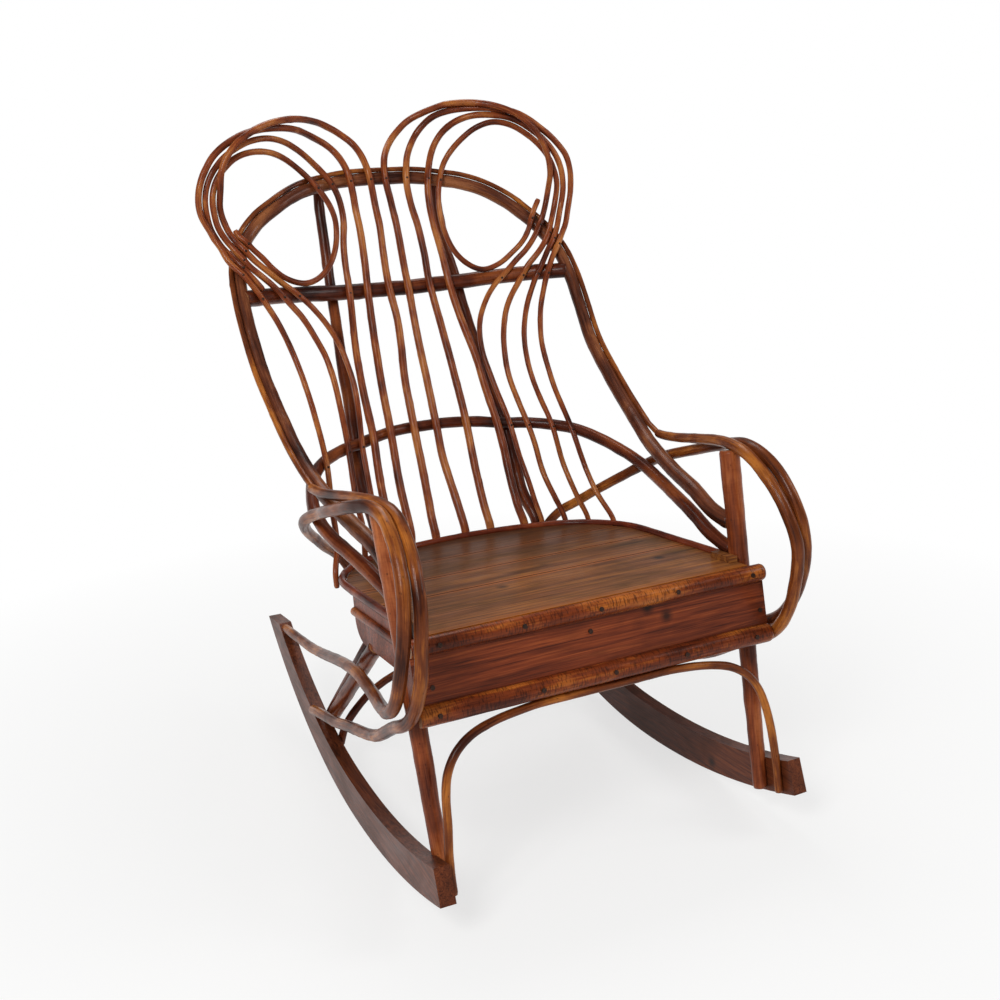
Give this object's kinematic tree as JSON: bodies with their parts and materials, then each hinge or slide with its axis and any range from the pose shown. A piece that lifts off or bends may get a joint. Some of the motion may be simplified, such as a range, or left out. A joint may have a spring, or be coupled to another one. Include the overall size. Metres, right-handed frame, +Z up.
{
  "type": "bentwood twig rocking chair",
  "caption": "High-backed rocking chair of bent, bark-on twigs: looped ear-shaped back corners, rod back, looped arms, boarded seat and two sawn runners.",
  "frame": {"origin": "on the floor, under the middle of the chair's overall box", "axes": "+Z up, the chair faces -Y, +X to the right of someone who stands in front of it"},
  "size_m": [0.6802, 0.8658, 1.0681],
  "materials": {
    "runner_wood": "sawn board, dark red-brown stain, worn satin varnish",
    "seat_wood": "pine boards, brown with grey-olive stains, worn varnish",
    "apron_wood": "sawn board, red-brown varnish",
    "bark_rail": "half-round split twig with cross-wrinkled bark, varnished",
    "dark_stick": "thick hickory stick, bark on, darkened varnish",
    "bent_twig": "steam-bent hickory twig, glossy amber varnish",
    "nail_iron": "flat nail heads, dark with rust under old varnish",
    "thin_rod": "thin steam-bent rod, glossy amber varnish"
  },
  "bodies": {
    "root": {"runner_right": "runner_wood", "runner_left": "runner_wood", "seat_board_1": "seat_wood", "seat_board_2": "seat_wood", "seat_board_3": "seat_wood", "seat_board_4": "seat_wood", "seat_cleat_right": "seat_wood", "seat_cleat_left": "seat_wood", "apron_front": "apron_wood", "side_apron_right": "apron_wood", "side_apron_left": "apron_wood", "seat_batten_right": "apron_wood", "seat_batten_left": "apron_wood", "rail_upper": "bark_rail", "rail_lower": "bark_rail", "side_rail_right": "bark_rail", "side_rail_left": "bark_rail", "post_right": "dark_stick", "post_left": "dark_stick", "rear_leg_right": "dark_stick", "rear_leg_left": "dark_stick", "rear_strut_right": "dark_stick", "rear_strut_left": "dark_stick", "mid_bow": "dark_stick", "crossbar": "dark_stick", "upright_right": "dark_stick", "upright_left": "dark_stick", "rear_hoop": "dark_stick", "outer_bow": "bent_twig", "seat_rim": "bent_twig", "front_hoop": "bent_twig", "top_twig": "bent_twig", "arm_inner_right": "bent_twig", "arm_inner_left": "bent_twig", "arm_outer_right": "bent_twig", "arm_outer_left": "bent_twig", "apron_nails": "nail_iron", "ear_rod_right_1": "thin_rod", "ear_rod_right_2": "thin_rod", "ear_rod_right_3": "thin_rod", "ear_rod_right_4": "thin_rod", "ear_rod_left_1": "thin_rod", "ear_rod_left_2": "thin_rod", "ear_rod_left_3": "thin_rod", "ear_rod_left_4": "thin_rod"}
  },
  "joints": []
}
